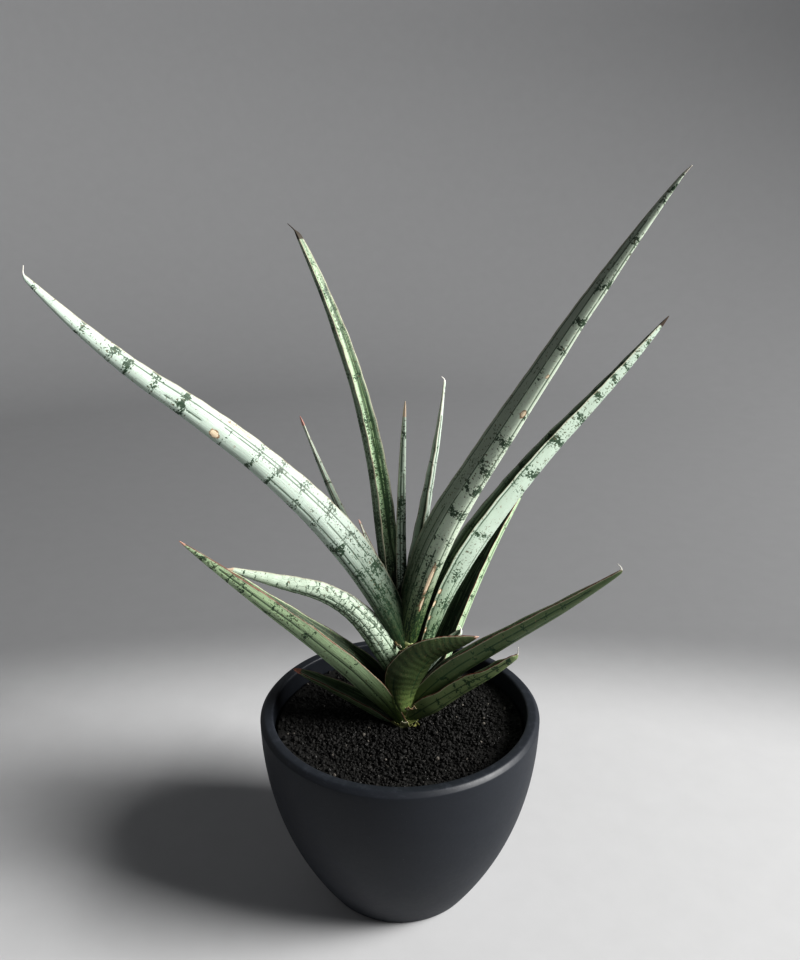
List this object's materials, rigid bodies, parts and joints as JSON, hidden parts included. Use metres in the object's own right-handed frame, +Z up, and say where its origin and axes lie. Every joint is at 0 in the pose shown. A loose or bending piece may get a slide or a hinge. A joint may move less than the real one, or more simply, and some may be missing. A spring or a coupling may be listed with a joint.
{
  "type": "potted snake plant",
  "caption": "Succulent with a fan of stiff, channelled, pointed leaves rising from a short stem, growing in dark gritty soil in a rounded matte pot with a flat foot.",
  "frame": {"origin": "middle of the pot's flat foot, on the surface that it stands on", "axes": "+Z up; the leaves fan out along X, to the left (-X) and to the right (+X) of a viewer who looks along +Y"},
  "size_m": [0.2658, 0.13, 0.3381],
  "materials": {
    "pot": "matte",
    "soil": "matte",
    "stem": "matte",
    "leaf": "satin",
    "shaded_leaf": "satin"
  },
  "bodies": {
    "root": {"pot": "pot", "soil": "soil", "stem": "stem", "leaf_centre_spear": "leaf", "leaf_slim_back_right": "leaf", "leaf_tall_back": "leaf", "leaf_short_back_left": "leaf", "leaf_slim_back_left": "leaf", "leaf_long_right": "leaf", "leaf_long_left": "leaf", "leaf_upper_right": "leaf", "leaf_back_right": "leaf", "leaf_small_back_right": "leaf", "leaf_arching_left": "leaf", "leaf_lower_left": "leaf", "leaf_short_front": "shaded_leaf", "leaf_lower_right": "shaded_leaf", "leaf_low_right": "shaded_leaf", "leaf_low_left": "shaded_leaf"}
  },
  "joints": []
}
